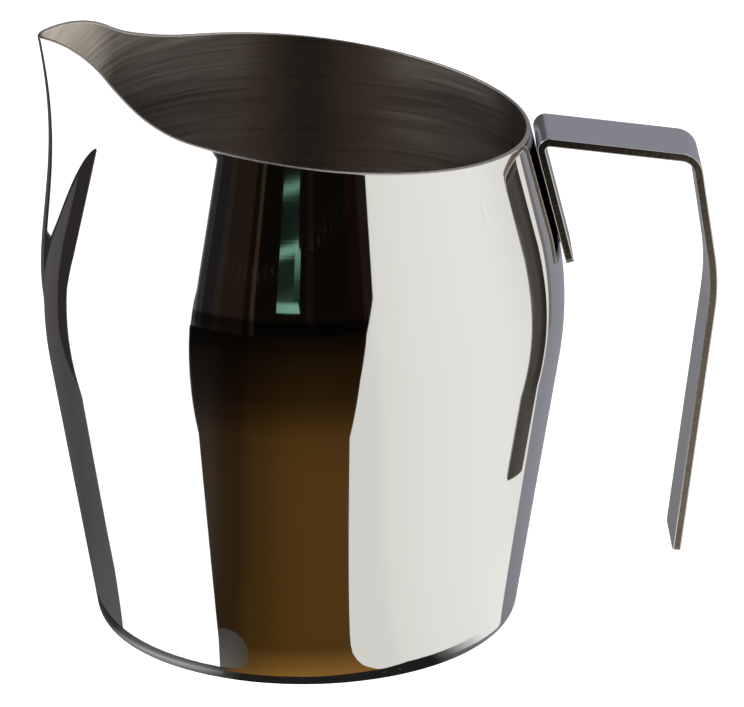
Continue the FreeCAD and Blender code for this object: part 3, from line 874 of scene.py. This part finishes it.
WINDOW_HEIGHTS = [
    (WINDOW_FOOT, 1.0), (122, 1.0), (132, 0.2), (138, 0.05), (144.5, 0.05), (146.2, 1.0),
    (147.4, 0.9), (148.2, 0.04), (159.4, 0.02), (160.4, 1.0), (WINDOW_TOP, 0.9),
]
PANE_HEIGHTS = [(PANE_FOOT, 0.05), (138, 0.1), (PANE_TOP, 0.8)]
TABLE_COLOURS = [
    (-60, (0.050, 0.046, 0.044)), (-38, (0.046, 0.034, 0.024)), (-34, (0.036, 0.021, 0.010)),
    (-27, (0.032, 0.016, 0.006)), (-21, (0.057, 0.028, 0.007)), (-16, (0.063, 0.031, 0.007)),
    (-9, (0.083, 0.041, 0.008)), (0, (0.093, 0.046, 0.010)), (60, (0.093, 0.044, 0.010)),
]
TABLE_FADE = [
    (38, 3.6), (41.8, 3.6), (42.6, 2.5), (43.4, 1.85), (44.5, 1.45), (45.8, 1.18), (48, 0.95),
    (56, 1.0), (96, 1.0), (107, 0.86), (133, 0.5), (172, 0.27), (240, 0.18), (560, 0.07),
    (TENT_RADIUS, 0.05),
]
# Painted shadow by the foot, over azimuth and distance.
SHEET_SHADOW_TURNS = [(-32, 1.0), (-26, 0.95), (-19, (0.75, 0.62, 0.42))]
SHEET_SHADOW_FADE = [(41, (0.15, 0.14, 0.13)), (46, (0.10, 0.092, 0.083)), (51.5, (0.066, 0.061, 0.056))]
SHEET_RIGHT = [
    (26, (0.80, 0.80, 0.765)), (31, (0.86, 0.865, 0.82)), (45, (0.91, 0.915, 0.875)),
    (75, (0.965, 0.965, 0.93)), (92, (0.955, 0.96, 0.925)), (112, (0.86, 0.87, 0.83)),
    (125, (0.87, 0.86, 0.82)),
]
LEFT_HEIGHTS = [(0, 1.45), (340, 1.45), (700, 1.85), (TENT_HEIGHT, 1.9)]
RIGHT_HEIGHTS = [(0, 1.0), (340, 1.0), (700, 0.68), (TENT_HEIGHT, 0.6)]
BEHIND_TURNS = [
    (-180, (0.29, 0.295, 0.33)), (-176.5, (0.17, 0.17, 0.18)), (-171, (0.11, 0.106, 0.104)),
    (-150, (0.09, 0.087, 0.085)), (-120, (0.075, 0.071, 0.069)), (120, (0.275, 0.28, 0.315)),
    (150, (0.295, 0.305, 0.345)), (170, (0.315, 0.32, 0.375)), (180, (0.29, 0.295, 0.33)),
]
SHADOW_LEFT = [
    (-180, 0.07), (-74, 0.08), (-66, 0.24), (-54, 0.40), (-40, 0.42), (-32, 0.34),
    (SHADOW_SPLIT, 0.12),
]
SHADOW_FADE = [(35, 0.2), (37.2, 0.55), (38.4, 1.1), (39.5, 0.5), (41.3, 0.22)]
SHADOW_RIGHT = [
    (SHADOW_SPLIT, 0.06), (-20, 0.015), (38, 0.015), (46, (0.12, 0.12, 0.14)),
    (60, (0.22, 0.22, 0.26)), (180, (0.28, 0.28, 0.33)),
]
SHADE_RIGHT = [
    (SHADOW_SPLIT, 0.06), (-20, 0.015), (38, 0.015), (44, 0.14), (50, 0.45), (SHADE_END, 0.9),
]
CEILING_TURNS = [
    (-180, 0.01), (-168, 0.01), (-145, 0.9), (-110, 1.2), (-80, 0.9), (-55, 0.2), (-45, 0.005),
    (22, 0.005), (40, 0.4), (70, (1.2, 1.25, 1.35)), (110, (1.3, 1.35, 1.45)), (135, 0.6),
    (158, 0.01), (180, 0.01),
]


def make_floor():
    """Pale floor under the pitcher; its own glow keeps it white beside the staged cards."""
    material, tree, shader = new_material("pale_floor", metallic=0.0)
    shader.inputs["Base Color"].default_value = (0.9, 0.9, 0.9, 1)
    shader.inputs["Roughness"].default_value = 0.9
    shader.inputs["Emission Color"].default_value = (1, 1, 1, 1)
    shader.inputs["Emission Strength"].default_value = 0.78
    grain = add(tree, "TexNoise", {"Scale": 900.0, "Detail": 2.0})
    bump = add(tree, "Bump", {"Height": grain.outputs["Fac"], "Strength": 0.05, "Distance": 0.0002})
    tree.links.new(bump.outputs["Normal"], shader.inputs["Normal"])
    side, z = 4000, -0.1
    corners = [(-side, -side, z), (side, -side, z), (side, side, z), (-side, side, z)]
    make_object("floor", corners, [(0, 1, 2, 3)], [material])


def azimuth_of(point):
    """Azimuth in degrees of a point of the plan."""
    x, y = point
    return math.degrees(math.atan2(x, -y))


def stand_screens(white_left, white_right, room, window, pane, behind, back_edge, back_shade):
    """The upright cards of the tent: room in front, sheets at the sides, grey behind."""
    full = (0, TENT_HEIGHT)
    closer, further = TENT_RADIUS - SCREEN_GAP, TENT_RADIUS + SCREEN_GAP
    room_left, room_right = ROOM_EDGES
    lean_left, lean_right = ROOM_LEANS
    top_left, top_right = room_left + lean_left, room_right + lean_right
    back_left, back_right = azimuth_of(BEHIND_LEFT[-1]), azimuth_of(BEHIND_RIGHT[-1])
    screen("screen_room", room_left, room_right, TENT_RADIUS, 0, ROOM_LEAN_TOP, room, *ROOM_LEANS)
    screen("screen_room_top", top_left, top_right, TENT_RADIUS, ROOM_LEAN_TOP, TENT_HEIGHT, room)
    screen("screen_left", back_left, room_left + SHEET_OVERLAP, further, *full, white_left)
    screen("screen_right", room_right - SHEET_OVERLAP, back_right, further, *full, white_right)
    screen("screen_back_left", -180, back_left, TENT_RADIUS, *full, behind)
    screen("screen_back_right", back_right, 180, TENT_RADIUS, *full, behind)
    screen("screen_back_edge", back_right, back_right + BACK_EDGE_WIDTH, closer, *full, back_edge)
    screen("screen_back_shade", back_left - BACK_SHADE_WIDTH, back_left, closer, *full, back_shade)
    window_span = (*WINDOW_EDGES, WINDOW_DISTANCE, WINDOW_FOOT, WINDOW_TOP)
    screen("screen_window", *window_span, window, *WINDOW_LEANS)
    screen("screen_pane", *PANE_EDGES, PANE_DISTANCE, PANE_FOOT, PANE_TOP, pane)


def lay_floor_cards(white_left, white_right, table, sheet_shadow, behind, back_edge, back_shade):
    """Sheets, table top and the grey behind as level cards, each layer above the last."""
    back = (0, FLOOR_REACH)
    back_left = BEHIND_LEFT + [(BEHIND_LEFT[-1][0], FLOOR_REACH), back, (0, 0)]
    back_right = BEHIND_RIGHT + [(BEHIND_RIGHT[-1][0], FLOOR_REACH), back, (0, 0)]
    sheet_shadow_plan = [compass(azimuth, distance)[:2] for azimuth, distance in SHEET_SHADOW_PATCH]
    return [
        level_ring("floor_left", -180, 0, FLOOR_FROM, FLOOR_REACH, LIFT, white_left),
        level_ring("floor_right", 0, 180, FLOOR_FROM, FLOOR_REACH, LIFT, white_right),
        floor_card("floor_back_left", back_left, 2 * LIFT, behind),
        floor_card("floor_back_shade", BEHIND_SHADE, 3 * LIFT, back_shade),
        floor_card("floor_back_right", back_right, 2 * LIFT, behind),
        floor_card("floor_table", TABLE_LEFT + TABLE_RIGHT[::-1], 2 * LIFT, table),
        floor_card("floor_sheet_shadow", sheet_shadow_plan, 3 * LIFT, sheet_shadow),
        floor_card("floor_back_edge", BEHIND_EDGE, 3 * LIFT, back_edge),
    ]


def lay_shadow(shadow_left, shadow_right, shade_right):
    """The pitcher's own shadow round its foot, which widens towards the right side."""
    z = 4 * LIFT
    first, last = SHADOW_SPLIT, SHADE_END
    near, wide = SHADOW_RIGHT_TO, SHADE_RIGHT_TO
    return [
        level_ring("shadow_left", -180, first, SHADOW_FROM, SHADOW_LEFT_TO, z, shadow_left),
        level_ring("shadow_right", first, 180, SHADOW_FROM, near, z, shadow_right),
        level_ring("shade_front", first, SHADE_WIDENS, near, SHADE_FRONT_TO, z, shade_right),
        level_ring("shade_start", SHADE_WIDENS, SHADE_WIDE, near, wide, z, shade_right, SHADE_FRONT_TO),
        level_ring("shade_right", SHADE_WIDE, last, near, wide, z, shade_right),
    ]


def make_studio():
    """A white world, the pale floor, and the cards that the mirror polish reflects."""
    world = bpy.data.worlds.new("studio")
    bpy.context.scene.world = world
    world.use_nodes = True
    world.node_tree.nodes["Background"].inputs["Color"].default_value = (1, 1, 1, 1)
    world.node_tree.nodes["Background"].inputs["Strength"].default_value = 1.0
    make_floor()

    white_left = glow("card_white_left", height=LEFT_HEIGHTS)
    white_right = glow("card_white_right", azimuth=SHEET_RIGHT, height=RIGHT_HEIGHTS)
    room = glow("card_room", azimuth=stripes(ROOM_BANDS), height=ROOM_HEIGHTS)
    window = glow("card_window", azimuth=WINDOW_TINT, height=WINDOW_HEIGHTS)
    pane = glow("card_pane", azimuth=WINDOW_TINT, height=PANE_HEIGHTS)
    table = glow("card_table", azimuth=TABLE_COLOURS, distance=TABLE_FADE)
    # Painted shadow where a white sheet meets the table, by the foot.
    sheet_shadow = glow("card_sheet_shadow", azimuth=SHEET_SHADOW_TURNS, distance=SHEET_SHADOW_FADE)
    back_edge = glow("card_back_edge", (0.20, 0.19, 0.19))
    behind = glow("card_behind", azimuth=BEHIND_TURNS)
    back_shade = glow("card_back_shade", (0.028, 0.024, 0.023))
    ceiling = glow("card_ceiling", azimuth=CEILING_TURNS)
    shadow_left = glow("card_shadow_left", azimuth=SHADOW_LEFT, distance=SHADOW_FADE)
    shadow_right = glow("card_shadow_right", azimuth=SHADOW_RIGHT)
    shade_right = glow("card_shade_right", azimuth=SHADE_RIGHT)

    stand_screens(white_left, white_right, room, window, pane, behind, back_edge, back_shade)
    level_ring("ceiling", -180, 180, 0, TENT_RADIUS, TENT_HEIGHT, ceiling)
    on_floor = lay_floor_cards(white_left, white_right, table, sheet_shadow, behind, back_edge, back_shade)
    on_floor += lay_shadow(shadow_left, shadow_right, shade_right)
    for obj in on_floor:
        obj.visible_diffuse = False


# ---------------------------------------------------------------- camera

VIEW_AIM = (12.03, 0, 49.23)
VIEW_DISTANCE = 1076.2
VIEW_AZIMUTH = -1.4426
VIEW_RISE = math.radians(20.175)
# Sideways tilt, as the rise of the picture's level line over its run.
VIEW_ROLL = -0.0049
VIEW_LENS = 290.3


def make_camera():
    """Looks at VIEW_AIM from a little left of the front and 20 degrees up, with a long lens."""
    data = bpy.data.cameras.new("camera")
    camera = bpy.data.objects.new("camera", data)
    bpy.context.scene.collection.objects.link(camera)
    bpy.context.scene.camera = camera
    data.sensor_width = 36.0
    data.lens = VIEW_LENS
    data.clip_start, data.clip_end = 0.05, 30.0
    back = Vector(compass(VIEW_AZIMUTH, math.cos(VIEW_RISE), math.sin(VIEW_RISE)))
    level = Vector((0, 0, 1)).cross(back).normalized()
    right = (level + VIEW_ROLL * back.cross(level)).normalized()
    up = back.cross(right)
    rotation = Matrix((right, up, back)).transposed()
    place = (Vector(VIEW_AIM) + back * VIEW_DISTANCE) * MM
    camera.matrix_world = Matrix.Translation(place) @ rotation.to_4x4()


scene = bpy.context.scene
scene.view_settings.view_transform = "Standard"
make_camera()
make_studio()

shell = make_body(polished_steel(), satin_steel(), trimmed_steel())
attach(shell, "root")
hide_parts("pitcher_body")

strap = make_strap(brushed_strap_steel(), painted_dark_edge_steel(), finger_side_shaded_steel())
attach(strap, "root")
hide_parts("handle_strap")

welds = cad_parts["spot_welds"]
welds.data.materials.clear()
welds.data.materials.append(weld_steel())
